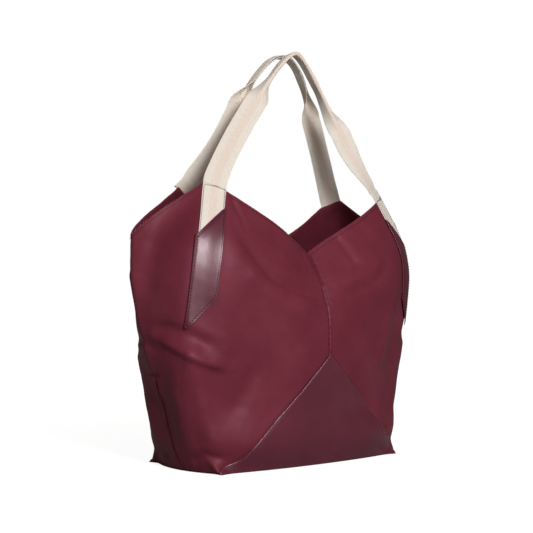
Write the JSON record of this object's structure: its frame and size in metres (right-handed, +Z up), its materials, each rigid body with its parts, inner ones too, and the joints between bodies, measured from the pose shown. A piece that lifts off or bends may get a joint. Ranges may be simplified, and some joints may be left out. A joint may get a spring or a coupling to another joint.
{
  "type": "tote bag",
  "caption": "Open-topped nylon tote bag with a leather base, leather tabs and folded webbing handles that swing out.",
  "frame": {"origin": "on the floor, under the middle of the bag's box of extents", "axes": "+X to the right along the front's width, +Y from the front to the back, +Z up; the front face looks along -Y"},
  "size_m": [0.608, 0.2696, 0.7099],
  "materials": {
    "nylon": "satin woven nylon, dark red",
    "leather": "fine-grained, dark red, satin",
    "webbing": "matt cotton webbing, cream",
    "lining": "plain woven, dark red",
    "board": "matt"
  },
  "bodies": {
    "bag_body": {"leather_base": "leather", "base_board": "board", "lining_floor": "lining", "left_body_panel": "nylon", "right_body_panel": "nylon", "left_lining": "lining", "right_lining": "lining", "front_left_strap_end": "webbing", "front_right_strap_end": "webbing", "back_left_strap_end": "webbing", "back_right_strap_end": "webbing", "front_left_leather_tab": "leather", "front_right_leather_tab": "leather", "back_left_leather_tab": "leather", "back_right_leather_tab": "leather"},
    "front_handle": {"front_handle": "webbing"},
    "back_handle": {"back_handle": "webbing"}
  },
  "joints": [
    {"name": "front_handle_swing", "type": "hinge", "parent": "bag_body", "child": "front_handle", "pos_m": [0, -0.06773, 0.44957], "axis": [1, 0, 0], "range_deg": [0, 160]},
    {"name": "back_handle_swing", "type": "hinge", "parent": "bag_body", "child": "back_handle", "pos_m": [0, 0.06773, 0.44957], "axis": [-1, 0, 0], "range_deg": [0, 160]}
  ]
}
